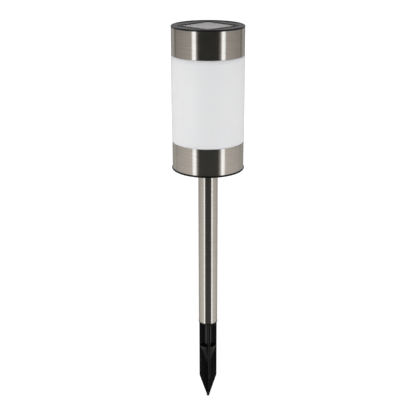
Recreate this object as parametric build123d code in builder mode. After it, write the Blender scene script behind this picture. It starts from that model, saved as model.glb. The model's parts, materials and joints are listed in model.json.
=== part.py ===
"""Solar garden light: a ground spike, a steel pole, a lamp head with a frosted shade between two steel
bands, and a bayonet cap that holds the solar cell, the battery, the circuit board and the LED.

Frame: +Z up, millimetres. The origin is on the axis at the soil line, the underside of the spike's
flange, so everything above zero stands over the ground. The front of the light faces -Y.
Stack, from the soil up: spike, pole, base, lower band, shade, upper band, seal, cap.
"""

import os
from math import cos, radians, sin, tan

from build123d import *

# ------------------------------------------------------------------ driving dimensions
head_radius = 37.5  # outside of both steel bands
band_wall = 0.6
band_height = 28.1
band_edge_round = 0.15
shade_height = 90.0  # frosted wall between the bands
lid_height = 1.6
pole_radius = 10.5
pole_wall = 0.6
pole_length = 180.0
spike_shoulder = 68.8  # depth below the soil line where the point starts
spike_depth = 96.6
cell_side = 39.6
travel_fit = 0.05  # radial clearance of the push fits
part_play = 0.1  # usual play between small parts
contact_play = 0.05  # play where two small parts nearly touch
edge_reach = 0.1  # an edge this near to a size counts as being on it

# ------------------------------------------------------------------ levels on the axis
flange_height = 1.2
pole_top = flange_height + pole_length
rim_height = 2.0
rim_top = pole_top + rim_height
lower_band_top = rim_top + band_height
upper_band_bottom = lower_band_top + shade_height
upper_band_top = upper_band_bottom + band_height
lid_gap = 0.15  # running gap between the upper band and the lid
lid_bottom = upper_band_top + lid_gap
lid_top = lid_bottom + lid_height

# ------------------------------------------------------------------ spike and plugs
flange_radius = pole_radius + 0.15
blade_radius = 9.9
blade_thickness = 2.4
blade_tip_radius = 0.9
blade_round = 0.5
blade_turn = 9.0  # the blades stand a little off the front, as the spike was pushed on
core_radius = 4.2
web_depth = 29.6
web_thickness = 1.6
web_radius = 8.9
web_round = 0.35
cone_depth = 54.0
cone_tip_radius = 1.6
plug_radius = pole_radius - pole_wall - travel_fit
plug_length = 25.0
plug_lead_in = 0.8

# ------------------------------------------------------------------ shade and base
rim_radius = 38.2
rim_round = 0.8
shade_wall_inner = 35.1
shade_neck_radius = head_radius - band_wall - travel_fit
shade_radius = head_radius + 0.35  # the frosted wall stands a little proud of the bands
shade_edge_round = 0.8
shade_end_gap = 0.05
seal_space = 0.85  # height left for the seal between the shade and the lid
gasket_thickness = 0.8
shade_bottom = rim_top + gasket_thickness
shade_top = lid_bottom - seal_space
base_wall_play = 0.15
base_wall_outer = shade_wall_inner - base_wall_play
base_wall = 1.75
base_wall_top = rim_top + 12.0
hub_radius = 8.0
rib_height = 7.0
rib_thickness = 1.6
rib_count = 6
rib_root = 0.5  # how far a rib, lug or snap runs into the wall it grows from
drain_radius = 1.5
drain_circle = 28.0
drain_count = 3
drain_start = 90.0
snap_count = 3
snap_reach = 1.2
snap_arc = 16.0
snap_low = 5.0
snap_height = 2.4
snap_play = 0.25
turn_play = 1.0  # degrees left free each side of a snap or a lug
wall_margin = 1.0  # how far a cutter runs past the wall it cuts
reflector_rise = 20.0
reflector_radius = shade_wall_inner - 0.3
reflector_wall = 1.2
reflector_foot = 30.0  # radius where the cone meets its flat edge
reflector_nose = 2.0

# ------------------------------------------------------------------ cap and bayonet
lid_radius = 37.7
lid_bead_round = 0.9
lid_lip_round = 0.4  # the bead's inner edge
lid_foot_round = 0.4
deck_drop = 0.6
deck_radius = 34.8
deck_edge = 0.7
deck_top = lid_top - deck_drop
lid_plate = 4.8
skirt_outer = 34.7
skirt_inner = 33.0
skirt_depth = 15.5
cap_floor = deck_top - lid_plate  # underside of the lid's plate
bayonet_count = 3
bayonet_start = 30.0
lug_arc = 10.0
lug_reach = 1.7
lug_height = 3.0
lug_drop = 11.0  # from the lid's underside down to the lugs' foot
lug_play = 0.4
lock_turn = 18.0
seal_inner = skirt_outer + 0.3
seal_outer = shade_neck_radius - 0.25
seal_seat = 0.05

pocket_side = 42.2
pocket_depth = 3.3
pocket_round = 2.5
layer_round = 2.2
bezel_side = 45.4
bezel_height = 0.3
bezel_round = 3.6
window_side = 41.8
window_thickness = 1.5
tape_side = 41.6
tape_opening = 38.0
tape_thickness = 0.35
cell_thickness = 0.3
board_thickness = 1.0
cell_turn = 45.0  # the square cell stands corner to the front
pocket_floor = deck_top - pocket_depth
board_seat = 0.05
cell_board_low = pocket_floor + board_seat
cell_low = cell_board_low + board_thickness
tape_low = cell_low + cell_thickness
window_low = tape_low + tape_thickness
lead_hole_radius = 3.5
lead_hole_y = -8.0

# ------------------------------------------------------------------ electronics housing
housing_radius = 32.5
housing_wall = 1.5
housing_floor_thickness = 1.6
housing_low = upper_band_bottom + 1.3
housing_inside = housing_low + housing_floor_thickness
post_gap = 0.1
housing_top = cap_floor - post_gap
post_circle = 27.3
post_radius = 3.2
post_count = 3
post_start = 90.0
screw_hole_radius = 1.25
screw_radius = 1.2
screw_head_radius = 2.4
screw_head_height = 1.4
screw_length = 13.0
counterbore_radius = 2.7
counterbore_depth = 0.9
screw_passage = 1.4  # radius of the holes the screws pass through
screw_end_gap = 2.0  # depth of hole left free past a screw
screw_head_round = 0.5
screw_cross = (2.6, 0.55, 0.8)  # length, width and depth of the cross recess

# battery: one AAA cell lying across the housing
battery_length = 44.5
battery_radius = 5.2
battery_can_radius = 5.0
nub_radius = 1.9
nub_length = 0.9
battery_y = 11.0
bay_half_width = 5.4
bay_left = -25.0
bay_right = 23.6
bay_wall = 1.2
bay_height = 12.4
plate_thickness = 0.4
plate_width = 8.0
tab_width = 3.0
tab_rise = 3.0
spring_radius = 3.2
spring_wire = 0.6
battery_lift = 0.3  # the cell rests this far over the middle of its bay
can_inset = 0.3  # the film stands this far past each end of the can
can_round = 0.6
nub_round = 0.3
film_play = 0.02
plate_foot = 1.0
tab_neck = 0.2  # the plates narrow to their tabs this far under the bay's top
tab_slot_play = 0.2

# battery door
door_thickness = 1.2
door_play = 0.3
door_back_play = 0.7  # room for the door's back edge to swing past the housing
door_rebate = 1.3
hinge_y = 18.9
hinge_lift = 1.0  # hinge axis above the housing's underside
hinge_barrel_radius = 1.1
hinge_pin_radius = 0.6
hinge_bore_radius = 0.65
barrel_inner = 10.0
barrel_outer = 18.0
pin_half_length = 21.0
notch_radius = 3.2
notch_depth = 0.7
notch_x = 15.0
door_lap = 2.2  # how far the door reaches past the bay in front
hinge_inset = 1.0  # from the rebate's back edge to the hinge axis
rib_end = 1.5  # length of the hinge rib past the pin
rib_back = 1.6  # rib behind the hinge axis
rib_rise = 1.9  # rib over the hinge axis
rib_front = 0.5
barrel_room = 1.45  # clear radius round the hinge axis where the barrels turn
pin_end_play = 0.2
grip_count = 3
grip_pitch = 1.3
grip_inset = 3.0  # middle of the grooves, from the rebate's front edge
grip_groove = (9.0, 0.6, 0.35)  # length, width and depth of a groove

# circuit board and parts on it
main_board_low = housing_low + 9.4
main_board_thickness = 1.2
main_board_top = main_board_low + main_board_thickness
main_board_half_x = 16.0
main_board_front = -12.5
main_board_back = 3.4
board_post_x = 13.0
board_post_y = -8.0
board_post_radius = 1.7
board_screw_radius = 0.9
board_screw_head = 1.9
board_screw_head_height = 1.2
board_screw_round = 0.4
board_screw_length = 6.0
board_screw_cross = (2.2, 0.5, 0.6)
post_foot_solid = 1.0  # solid height at the foot of a board post
leg_hole_radius = 0.5
led_y = -1.5
led_radius = 2.5
led_flange_radius = 2.9
led_tip = housing_low - 1.6
led_flange_low = main_board_low - 2.8
led_flange_height = 1.0
led_leg_spread = 1.27
led_leg_side = 0.5
led_leg_stub = 1.0  # leg left over the board
chip_half_width = 2.55
chip_front = -10.4
chip_back = -8.8
chip_lift = 0.8
chip_height = 4.1
chip_chamfer = 0.4
chip_leg_count = 4
chip_leg_pitch = 1.27
chip_leg_half = 0.2
choke_x = 9.0
choke_y = -3.6
choke_radius = 1.6
choke_half = 3.3
choke_round = 0.7
choke_leg_out = 0.5  # how far the legs stand past the choke's ends
choke_leg_half = 0.25
choke_leg_rise = 1.9
choke_leg_root = 0.3
capacitor_x = -9.0
capacitor_y = -3.6
capacitor_radius = 2.5
capacitor_height = 6.0
capacitor_round = 0.4

# slide switch
switch_y = -17.5
switch_half_x = 4.5
switch_half_y = 2.1
switch_height = 3.6
ear_half_x = 7.8
ear_thickness = 0.5
ear_hole_x = 6.2
slot_half_x = 3.1
slot_half_y = 1.0
knob_half_y = 0.8
knob_width = 2.6
knob_travel = 3.0
knob_reach = 1.3
knob_rise = 2.0  # knob inside the switch's slot
knob_round = 0.3
slot_rise = 2.2
switch_screw_head = 1.5
switch_screw_head_height = 1.0
switch_screw_end = 0.2

lead_radius = 0.6
lead_bend = 0.45  # share of a straight run that a bend may take up
cell_lead_x = 1.4
cell_foot_x = 5.5
cell_lead_drop = 4.8  # height over the board where the cell's leads turn down
lead_arch = 8.0  # height over the board of the high bends
tab_lead_rise = 2.9
battery_foot = (14.2, 1.2)
switch_lead_x = 2.6
switch_lead_rise = 2.5
switch_foot_x = 8.6
switch_foot_inset = 1.7
switch_lead_arch = 4.2


# ------------------------------------------------------------------ helpers
def radial_plane(angle):
    """The half plane at that angle round the axis: local x is the radius, local y is the height."""
    across = (cos(radians(angle)), sin(radians(angle)), 0)
    normal = (sin(radians(angle)), -cos(radians(angle)), 0)
    return Plane(origin=(0, 0, 0), x_dir=across, z_dir=normal)


def block(low, high, mode=Mode.ADD):
    """A box between two opposite corners, in the block that is open."""
    size = [b - a for a, b in zip(low, high)]
    with Locations(low):
        Box(*size, align=(Align.MIN, Align.MIN, Align.MIN), mode=mode)


def sector(start, arc, inner, outer, low, high, mode=Mode.ADD):
    """A piece of a ring, from start, over arc degrees, in the block that is open."""
    with BuildPart(mode=Mode.PRIVATE) as piece:
        with BuildSketch(radial_plane(start)):
            with Locations((inner, low)):
                Rectangle(outer - inner, high - low, align=(Align.MIN, Align.MIN))
        revolve(axis=Axis.Z, revolution_arc=arc)
    add(piece.part, mode=mode)


def wide_circles(part, radius):
    """The round edges of a part that are at least that wide."""
    return part.edges().filter_by(GeomType.CIRCLE).filter_by(lambda e: e.radius > radius - edge_reach)


def spaced(count, start=0.0):
    """Angles evenly spaced round the axis."""
    return [start + 360 / count * i for i in range(count)]


def cross_section(radius, turn=0.0):
    """Two crossed blades with a round core, trimmed to a circle, in the sketch that is open."""
    Rectangle(2 * radius, blade_thickness, rotation=turn)
    Rectangle(blade_thickness, 2 * radius, rotation=turn)
    Circle(core_radius)
    Circle(radius, mode=Mode.INTERSECT)


def lead(points):
    """A lead along straight runs joined by arcs as large as the runs allow."""
    runs = [Vector(b) - Vector(a) for a, b in zip(points, points[1:])]
    bends = [
        lead_bend * min(before.length, after.length) / tan(radians(before.get_angle(after) / 2))
        for before, after in zip(runs, runs[1:])
    ]
    print("lead bends", [round(bend, 2) for bend in bends])
    with BuildPart() as wire:
        with BuildLine() as route:
            FilletPolyline(*points, radius=bends)
        with BuildSketch(Plane(origin=points[0], z_dir=runs[0])):
            Circle(lead_radius)
        sweep(path=route.wires()[0])
    return wire.part


os.makedirs("parts", exist_ok=True)


def save(part, name):
    part.label = name
    export_step(part, f"parts/{name}.step")


# ------------------------------------------------------------------ ground spike
# A moulded cross blade with a round core down to a web, a cone under the web, a flange that the pole
# stands on, and a plug that fills the foot of the pole.
with BuildPart() as ground_spike:
    for angle in (blade_turn, blade_turn + 90):
        with BuildSketch(radial_plane(angle)):
            with BuildLine():
                Polyline(
                    (-blade_radius, 0),
                    (-blade_radius, -spike_shoulder),
                    (-blade_tip_radius, -spike_depth),
                    (blade_tip_radius, -spike_depth),
                    (blade_radius, -spike_shoulder),
                    (blade_radius, 0),
                    close=True,
                )
            make_face()
        extrude(amount=blade_thickness / 2, both=True)
    upright_edges = ground_spike.edges().filter_by(Axis.Z)
    outer_edges = upright_edges.filter_by(lambda e: e.length > spike_shoulder - edge_reach)
    blade_edges = outer_edges.filter_by(lambda e: Vector(e.center().X, e.center().Y).length > core_radius)
    fillet(blade_edges, blade_round)
    with BuildSketch(Plane.XZ) as web_section:
        with BuildLine():
            Polyline(
                (0, 0),
                (core_radius, 0),
                (core_radius, -web_depth),
                (web_radius, -web_depth),
                (web_radius, -web_depth - web_thickness),
                (cone_tip_radius, -cone_depth),
                (0, -cone_depth),
                close=True,
            )
        make_face()
        web_corners = web_section.vertices().group_by(Axis.X)[-1]
        fillet(web_corners, web_round)
    revolve(axis=Axis.Z)
    with BuildSketch(Plane.XY):
        Circle(flange_radius)
    extrude(amount=flange_height)
    with BuildSketch(Plane.XY.offset(flange_height)):
        cross_section(plug_radius, blade_turn)
    extrude(amount=plug_length)
    chamfer(ground_spike.faces().sort_by(Axis.Z)[-1].edges(), plug_lead_in)
save(ground_spike.part, "ground_spike")

# ------------------------------------------------------------------ pole
with BuildPart() as pole_tube:
    with BuildSketch(Plane.XY.offset(flange_height)):
        Circle(pole_radius)
        Circle(pole_radius - pole_wall, mode=Mode.SUBTRACT)
    extrude(amount=pole_length)
save(pole_tube.part, "pole_tube")

# ------------------------------------------------------------------ base
# The moulded foot of the head: a rim that carries the lower band, a wall that the shade snaps over, ribs
# round a hub, drain holes, and a plug that fills the head of the pole.
with BuildPart() as base_cap:
    with BuildSketch(Plane.XZ):
        with BuildLine():
            Polyline(
                (0, pole_top),
                (rim_radius, pole_top),
                (rim_radius, rim_top),
                (base_wall_outer, rim_top),
                (base_wall_outer, base_wall_top),
                (base_wall_outer - base_wall, base_wall_top),
                (base_wall_outer - base_wall, rim_top),
                (hub_radius, rim_top),
                (hub_radius, rim_top + rib_height),
                (0, rim_top + rib_height),
                close=True,
            )
        make_face()
    revolve(axis=Axis.Z)
    fillet(wide_circles(base_cap, rim_radius), rim_round)
    with PolarLocations((hub_radius + base_wall_outer - base_wall) / 2, rib_count):
        with Locations((0, 0, rim_top)):
            Box(
                base_wall_outer - base_wall - hub_radius + 2 * rib_root,
                rib_thickness,
                rib_height,
                align=(Align.CENTER, Align.CENTER, Align.MIN),
            )
    for angle in spaced(snap_count):
        low = rim_top + snap_low
        reach = base_wall_outer + snap_reach
        sector(angle, snap_arc, base_wall_outer - rib_root, reach, low, low + snap_height)
    with BuildSketch(Plane.XY.offset(pole_top)):
        with PolarLocations(drain_circle, drain_count, start_angle=drain_start):
            Circle(drain_radius)
    extrude(amount=rim_height, mode=Mode.SUBTRACT)
    with BuildSketch(Plane.XY.offset(pole_top)):
        cross_section(plug_radius)
    extrude(amount=-plug_length)
    chamfer(base_cap.faces().sort_by(Axis.Z)[0].edges(), plug_lead_in)
save(base_cap.part, "base_cap")

with BuildPart() as base_gasket:
    with BuildSketch(Plane.XY.offset(rim_top)):
        Circle(shade_neck_radius - part_play)
        Circle(base_wall_outer + part_play, mode=Mode.SUBTRACT)
    extrude(amount=gasket_thickness)
save(base_gasket.part, "base_gasket")

# A plated cone on the base throws the LED's light sideways into the shade.
with BuildPart() as reflector_cone:
    with BuildSketch(Plane.XZ):
        with BuildLine():
            Polyline(
                (0, base_wall_top + reflector_rise),
                (reflector_nose, base_wall_top + reflector_rise),
                (reflector_foot, base_wall_top + reflector_wall),
                (reflector_radius, base_wall_top + reflector_wall),
                (reflector_radius, base_wall_top),
                (reflector_foot - reflector_wall / 2, base_wall_top),
                (reflector_nose - reflector_wall / 2, base_wall_top + reflector_rise - reflector_wall),
                (0, base_wall_top + reflector_rise - reflector_wall),
                close=True,
            )
        make_face()
    revolve(axis=Axis.Z)
save(reflector_cone.part, "reflector_cone")

# ------------------------------------------------------------------ shade and bands
# One moulded tube. Its two necks are smaller, so that the steel bands lie level with the frosted wall.
# The lower neck has windows for the base's snaps, the upper one has the bayonet's slots.
with BuildPart() as shade:
    with BuildSketch(Plane.XZ):
        with BuildLine():
            Polyline(
                (shade_wall_inner, shade_bottom),
                (shade_neck_radius, shade_bottom),
                (shade_neck_radius, lower_band_top + shade_end_gap),
                (shade_radius, lower_band_top + shade_end_gap),
                (shade_radius, upper_band_bottom - shade_end_gap),
                (shade_neck_radius, upper_band_bottom - shade_end_gap),
                (shade_neck_radius, shade_top),
                (shade_wall_inner, shade_top),
                close=True,
            )
        make_face()
    revolve(axis=Axis.Z)
    fillet(wide_circles(shade, shade_radius), shade_edge_round)
    for angle in spaced(snap_count):
        low = rim_top + snap_low - snap_play
        sector(
            angle - turn_play,
            snap_arc + 2 * turn_play,
            shade_wall_inner - wall_margin,
            shade_neck_radius + wall_margin,
            low,
            low + snap_height + 2 * snap_play,
            mode=Mode.SUBTRACT,
        )
    lug_low = lid_bottom - lug_drop
    slot_low = lug_low - lug_play
    slot_high = lug_low + lug_height + lug_play
    for angle in spaced(bayonet_count, bayonet_start):
        entry = angle - lug_arc / 2 - turn_play
        sector(
            entry,
            lug_arc + 2 * turn_play,
            shade_wall_inner - wall_margin,
            shade_neck_radius + wall_margin,
            slot_low,
            shade_top + wall_margin,
            mode=Mode.SUBTRACT,
        )
        sector(
            entry - lock_turn,
            lock_turn + turn_play,
            shade_wall_inner - wall_margin,
            shade_neck_radius + wall_margin,
            slot_low,
            slot_high,
            mode=Mode.SUBTRACT,
        )
save(shade.part, "shade")

for band_name, band_bottom in (("lower_band", rim_top), ("upper_band", upper_band_bottom)):
    with BuildPart() as band:
        with BuildSketch(Plane.XY.offset(band_bottom)):
            Circle(head_radius)
            Circle(head_radius - band_wall, mode=Mode.SUBTRACT)
        extrude(amount=band_height)
        fillet(wide_circles(band, head_radius), band_edge_round)
    save(band.part, band_name)

with BuildPart() as cap_seal_ring:
    with BuildSketch(Plane.XY.offset(shade_top + seal_seat)):
        Circle(seal_outer)
        Circle(seal_inner, mode=Mode.SUBTRACT)
    extrude(amount=lid_bottom - shade_top - 2 * seal_seat)
save(cap_seal_ring.part, "cap_seal_ring")

# ------------------------------------------------------------------ cap
# The lid has a raised outer bead, a flat deck with a square pocket for the cell, a skirt with the
# bayonet's lugs, and three posts that the electronics housing is screwed to.
with BuildPart() as cap_lid:
    with BuildSketch(Plane.XZ):
        with BuildLine():
            Polyline(
                (0, cap_floor),
                (skirt_inner, cap_floor),
                (skirt_inner, lid_bottom - skirt_depth),
                (skirt_outer, lid_bottom - skirt_depth),
                (skirt_outer, lid_bottom),
                (lid_radius, lid_bottom),
                (lid_radius, lid_top),
                (deck_radius + deck_edge, lid_top),
                (deck_radius, deck_top),
                (0, deck_top),
                close=True,
            )
        make_face()
    revolve(axis=Axis.Z)
    top_edges = cap_lid.edges().filter_by(GeomType.CIRCLE).group_by(Axis.Z)[-1]
    fillet(top_edges.sort_by(SortBy.RADIUS)[0], lid_lip_round)
    fillet(wide_circles(cap_lid, lid_radius).sort_by(Axis.Z)[-1], lid_bead_round)
    fillet(wide_circles(cap_lid, lid_radius).sort_by(Axis.Z)[0], lid_foot_round)
    with BuildSketch(Plane.XY.offset(deck_top)):
        RectangleRounded(bezel_side, bezel_side, bezel_round, rotation=cell_turn)
    extrude(amount=bezel_height)
    with BuildSketch(Plane.XY.offset(pocket_floor)):
        RectangleRounded(pocket_side, pocket_side, pocket_round, rotation=cell_turn)
    extrude(amount=pocket_depth + bezel_height, mode=Mode.SUBTRACT)
    with BuildSketch(Plane.XY.offset(cap_floor)):
        with Locations((0, lead_hole_y)):
            Circle(lead_hole_radius)
    extrude(amount=pocket_floor - cap_floor, mode=Mode.SUBTRACT)
    post_low = housing_inside + post_gap
    with BuildSketch(Plane.XY.offset(post_low)):
        with PolarLocations(post_circle, post_count, start_angle=post_start):
            Circle(post_radius)
    extrude(amount=cap_floor - post_low)
    with BuildSketch(Plane.XY.offset(post_low)):
        with PolarLocations(post_circle, post_count, start_angle=post_start):
            Circle(screw_hole_radius)
    extrude(amount=screw_length, mode=Mode.SUBTRACT)
    for angle in spaced(bayonet_count, bayonet_start):
        low = lid_bottom - lug_drop
        reach = skirt_outer + lug_reach
        sector(angle - lug_arc / 2, lug_arc, skirt_outer - rib_root, reach, low, low + lug_height)
save(cap_lid.part, "cap_lid")

# The stack in the pocket, from the top: window, tape, cell, board.
cell_stack = [
    ("solar_window", window_side, 0, window_low, window_thickness),
    ("window_tape", tape_side, tape_opening, tape_low, tape_thickness),
    ("solar_cell", cell_side, 0, cell_low, cell_thickness),
    ("cell_board", tape_side, 0, cell_board_low, board_thickness),
]
for layer_name, side, opening, low, thickness in cell_stack:
    with BuildPart() as layer:
        with BuildSketch(Plane.XY.offset(low)):
            RectangleRounded(side, side, layer_round, rotation=cell_turn)
            if opening:
                Rectangle(opening, opening, rotation=cell_turn, mode=Mode.SUBTRACT)
        extrude(amount=thickness)
    save(layer.part, layer_name)

# ------------------------------------------------------------------ electronics housing
bay_front = battery_y - bay_half_width
bay_back = battery_y + bay_half_width
bay_top = housing_inside + bay_height
rebate_left = bay_left - bay_wall
rebate_right = bay_right + bay_wall
rebate_front = bay_front - door_lap
rebate_back = hinge_y - hinge_inset
hinge_z = housing_low + hinge_lift

with BuildPart() as electronics_housing:
    with BuildSketch(Plane.XY.offset(housing_low)):
        Circle(housing_radius)
    extrude(amount=housing_top - housing_low)
    with BuildSketch(Plane.XY.offset(housing_inside)):
        Circle(housing_radius - housing_wall)
    extrude(amount=housing_top - housing_inside, mode=Mode.SUBTRACT)
    # battery bay, its floor rebate for the door, and slots for the contact tabs
    block(
        (bay_left - bay_wall, bay_front - bay_wall, housing_inside),
        (bay_right + bay_wall, bay_back + bay_wall, bay_top + bay_wall),
    )
    block((bay_left, bay_front, housing_low), (bay_right, bay_back, bay_top), mode=Mode.SUBTRACT)
    block(
        (rebate_left, rebate_front, housing_low),
        (rebate_right, rebate_back, housing_low + door_rebate),
        mode=Mode.SUBTRACT,
    )
    tab_slot = plate_thickness + part_play
    for tab_left in (bay_left, bay_right - tab_slot):
        block(
            (tab_left, battery_y - tab_width / 2 - tab_slot_play, bay_top),
            (tab_left + tab_slot, battery_y + tab_width / 2 + tab_slot_play, bay_top + bay_wall),
            mode=Mode.SUBTRACT,
        )
    # hinge rib, cut out where the door's barrels turn, and bored for the pin
    block(
        (-pin_half_length - rib_end, rebate_back - rib_front, housing_inside),
        (pin_half_length + rib_end, hinge_y + rib_back, hinge_z + rib_rise),
    )
    for side in (-1, 1):
        near, far = sorted((side * (barrel_inner - door_play), side * (barrel_outer + door_play)))
        block(
            (near, rebate_back - rib_front - part_play, housing_low),
            (far, hinge_y + barrel_room, hinge_z + barrel_room),
            mode=Mode.SUBTRACT,
        )
    with BuildSketch(Plane.YZ):
        with Locations((hinge_y, hinge_z)):
            Circle(hinge_bore_radius)
    extrude(amount=pin_half_length + pin_end_play, both=True, mode=Mode.SUBTRACT)
    # finger notch beside the door's free edge
    with BuildSketch(Plane.XY.offset(housing_low)):
        with Locations((notch_x, rebate_front)):
            Circle(notch_radius)
    extrude(amount=notch_depth, mode=Mode.SUBTRACT)
    # LED hole and switch slot
    with BuildSketch(Plane.XY.offset(housing_low)):
        with Locations((0, led_y)):
            Circle(led_radius + part_play)
        with Locations((0, switch_y)):
            Rectangle(2 * slot_half_x, 2 * slot_half_y)
        with Locations((-ear_hole_x, switch_y), (ear_hole_x, switch_y)):
            Circle(board_screw_radius + contact_play)
    extrude(amount=housing_floor_thickness, mode=Mode.SUBTRACT)
    # posts for the circuit board
    with BuildSketch(Plane.XY.offset(housing_inside)):
        with Locations((-board_post_x, board_post_y), (board_post_x, board_post_y)):
            Circle(board_post_radius)
    extrude(amount=main_board_low - housing_inside)
    with BuildSketch(Plane.XY.offset(housing_inside + post_foot_solid)):
        with Locations((-board_post_x, board_post_y), (board_post_x, board_post_y)):
            Circle(board_screw_radius + contact_play)
    extrude(amount=main_board_low - housing_inside - post_foot_solid, mode=Mode.SUBTRACT)
    # screw holes with counterbores on the underside
    with BuildSketch(Plane.XY.offset(housing_low)):
        with PolarLocations(post_circle, post_count, start_angle=post_start):
            Circle(screw_passage)
    extrude(amount=housing_floor_thickness, mode=Mode.SUBTRACT)
    with BuildSketch(Plane.XY.offset(housing_low)):
        with PolarLocations(post_circle, post_count, start_angle=post_start):
            Circle(counterbore_radius)
    extrude(amount=counterbore_depth, mode=Mode.SUBTRACT)
save(electronics_housing.part, "electronics_housing")

with BuildPart() as housing_screws:
    head_top = housing_low + counterbore_depth
    with BuildSketch(Plane.XY.offset(head_top - screw_head_height)):
        with PolarLocations(post_circle, post_count, start_angle=post_start):
            Circle(screw_head_radius)
    extrude(amount=screw_head_height)
    fillet(housing_screws.edges().group_by(Axis.Z)[0], screw_head_round)
    with BuildSketch(Plane.XY.offset(head_top)):
        with PolarLocations(post_circle, post_count, start_angle=post_start):
            Circle(screw_radius)
    extrude(amount=screw_length - screw_end_gap)
    with BuildSketch(Plane.XY.offset(head_top - screw_head_height)):
        with PolarLocations(post_circle, post_count, start_angle=post_start):
            Rectangle(screw_cross[0], screw_cross[1])
            Rectangle(screw_cross[1], screw_cross[0])
    extrude(amount=screw_cross[2], mode=Mode.SUBTRACT)
save(housing_screws.part, "housing_screws")

# ------------------------------------------------------------------ battery door and its pin
with BuildPart() as battery_door:
    block(
        (rebate_left + door_play, rebate_front + door_play, housing_low),
        (rebate_right - door_play, rebate_back - door_back_play, housing_low + door_thickness),
    )
    for side in (-1, 1):
        near, far = sorted((side * barrel_inner, side * barrel_outer))
        arm_start = rebate_back - 2 * door_back_play
        block((near, arm_start, housing_low), (far, hinge_y, housing_low + door_thickness))
        with BuildSketch(Plane.YZ.offset(near)):
            with Locations((hinge_y, hinge_z)):
                Circle(hinge_barrel_radius)
        extrude(amount=far - near)
    with BuildSketch(Plane.YZ):
        with Locations((hinge_y, hinge_z)):
            Circle(hinge_bore_radius)
    extrude(amount=barrel_outer + wall_margin, both=True, mode=Mode.SUBTRACT)
    # shallow grooves on the outside to grip
    grip_middle = (rebate_left + rebate_right) / 2
    with BuildSketch(Plane.XY.offset(housing_low)):
        with Locations((grip_middle, rebate_front + grip_inset)):
            with GridLocations(0, grip_pitch, 1, grip_count):
                Rectangle(grip_groove[0], grip_groove[1])
    extrude(amount=grip_groove[2], mode=Mode.SUBTRACT)
save(battery_door.part, "battery_door")

with BuildPart() as door_hinge_pin:
    with BuildSketch(Plane.YZ):
        with Locations((hinge_y, hinge_z)):
            Circle(hinge_pin_radius)
    extrude(amount=pin_half_length, both=True)
save(door_hinge_pin.part, "door_hinge_pin")

# ------------------------------------------------------------------ battery and its contacts
battery_z = housing_inside + bay_height / 2 + battery_lift
plus_plate_face = bay_right - plate_thickness
nub_end = plus_plate_face - contact_play
can_end = nub_end - nub_length
can_start = nub_end - battery_length
axis_point = (battery_y, battery_z)
plate_metal = plate_thickness - contact_play

with BuildPart() as battery_can:
    with BuildSketch(Plane.YZ.offset(can_start + can_inset)):
        with Locations(axis_point):
            Circle(battery_can_radius)
    extrude(amount=can_end - can_start - 2 * can_inset)
    fillet(battery_can.edges().filter_by(GeomType.CIRCLE), can_round)
    with BuildSketch(Plane.YZ.offset(can_end - can_inset)):
        with Locations(axis_point):
            Circle(nub_radius)
    extrude(amount=nub_length + can_inset)
    fillet(battery_can.edges().filter_by(GeomType.CIRCLE).group_by(Axis.X)[-1], nub_round)
save(battery_can.part, "battery_can")

with BuildPart() as battery_sleeve:
    with BuildSketch(Plane.YZ.offset(can_start)):
        with Locations(axis_point):
            Circle(battery_radius)
            Circle(battery_can_radius + film_play, mode=Mode.SUBTRACT)
    extrude(amount=can_end - can_start)
save(battery_sleeve.part, "battery_sleeve")

for plate_name, plate_left in (
    ("negative_plate", bay_left + contact_play),
    ("positive_plate", bay_right - plate_thickness),
):
    with BuildPart() as plate:
        block(
            (plate_left, battery_y - plate_width / 2, housing_inside + plate_foot),
            (plate_left + plate_metal, battery_y + plate_width / 2, bay_top - tab_neck),
        )
        block(
            (plate_left, battery_y - tab_width / 2, bay_top - tab_neck),
            (plate_left + plate_metal, battery_y + tab_width / 2, bay_top + tab_rise),
        )
    save(plate.part, plate_name)

# The return spring, closed up here to a short conical sleeve of its wire's thickness.
with BuildPart() as battery_spring:
    spring_start = bay_left + plate_thickness
    spring_end = can_start + can_inset - film_play
    with BuildSketch(Plane.YZ.offset(spring_start)):
        with Locations(axis_point):
            Circle(spring_radius)
            Circle(spring_radius - spring_wire, mode=Mode.SUBTRACT)
    extrude(amount=spring_end - spring_start)
save(battery_spring.part, "battery_spring")
print("spring length", round(spring_end - spring_start, 2))

# ------------------------------------------------------------------ circuit board
with BuildPart() as main_board:
    block(
        (-main_board_half_x, main_board_front, main_board_low),
        (main_board_half_x, main_board_back, main_board_top),
    )
    with BuildSketch(Plane.XY.offset(main_board_low)):
        with Locations((-board_post_x, board_post_y), (board_post_x, board_post_y)):
            Circle(board_screw_radius + part_play)
        with Locations((-led_leg_spread, led_y), (led_leg_spread, led_y)):
            Circle(leg_hole_radius)
    extrude(amount=main_board_thickness, mode=Mode.SUBTRACT)
save(main_board.part, "main_board")

with BuildPart() as board_screws:
    with BuildSketch(Plane.XY.offset(main_board_top)):
        with Locations((-board_post_x, board_post_y), (board_post_x, board_post_y)):
            Circle(board_screw_head)
    extrude(amount=board_screw_head_height)
    fillet(board_screws.edges().group_by(Axis.Z)[-1], board_screw_round)
    with BuildSketch(Plane.XY.offset(main_board_top)):
        with Locations((-board_post_x, board_post_y), (board_post_x, board_post_y)):
            Circle(board_screw_radius)
    extrude(amount=-board_screw_length)
    with BuildSketch(Plane.XY.offset(main_board_top + board_screw_head_height)):
        with Locations((-board_post_x, board_post_y), (board_post_x, board_post_y)):
            Rectangle(board_screw_cross[0], board_screw_cross[1])
            Rectangle(board_screw_cross[1], board_screw_cross[0])
    extrude(amount=-board_screw_cross[2], mode=Mode.SUBTRACT)
save(board_screws.part, "board_screws")

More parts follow.
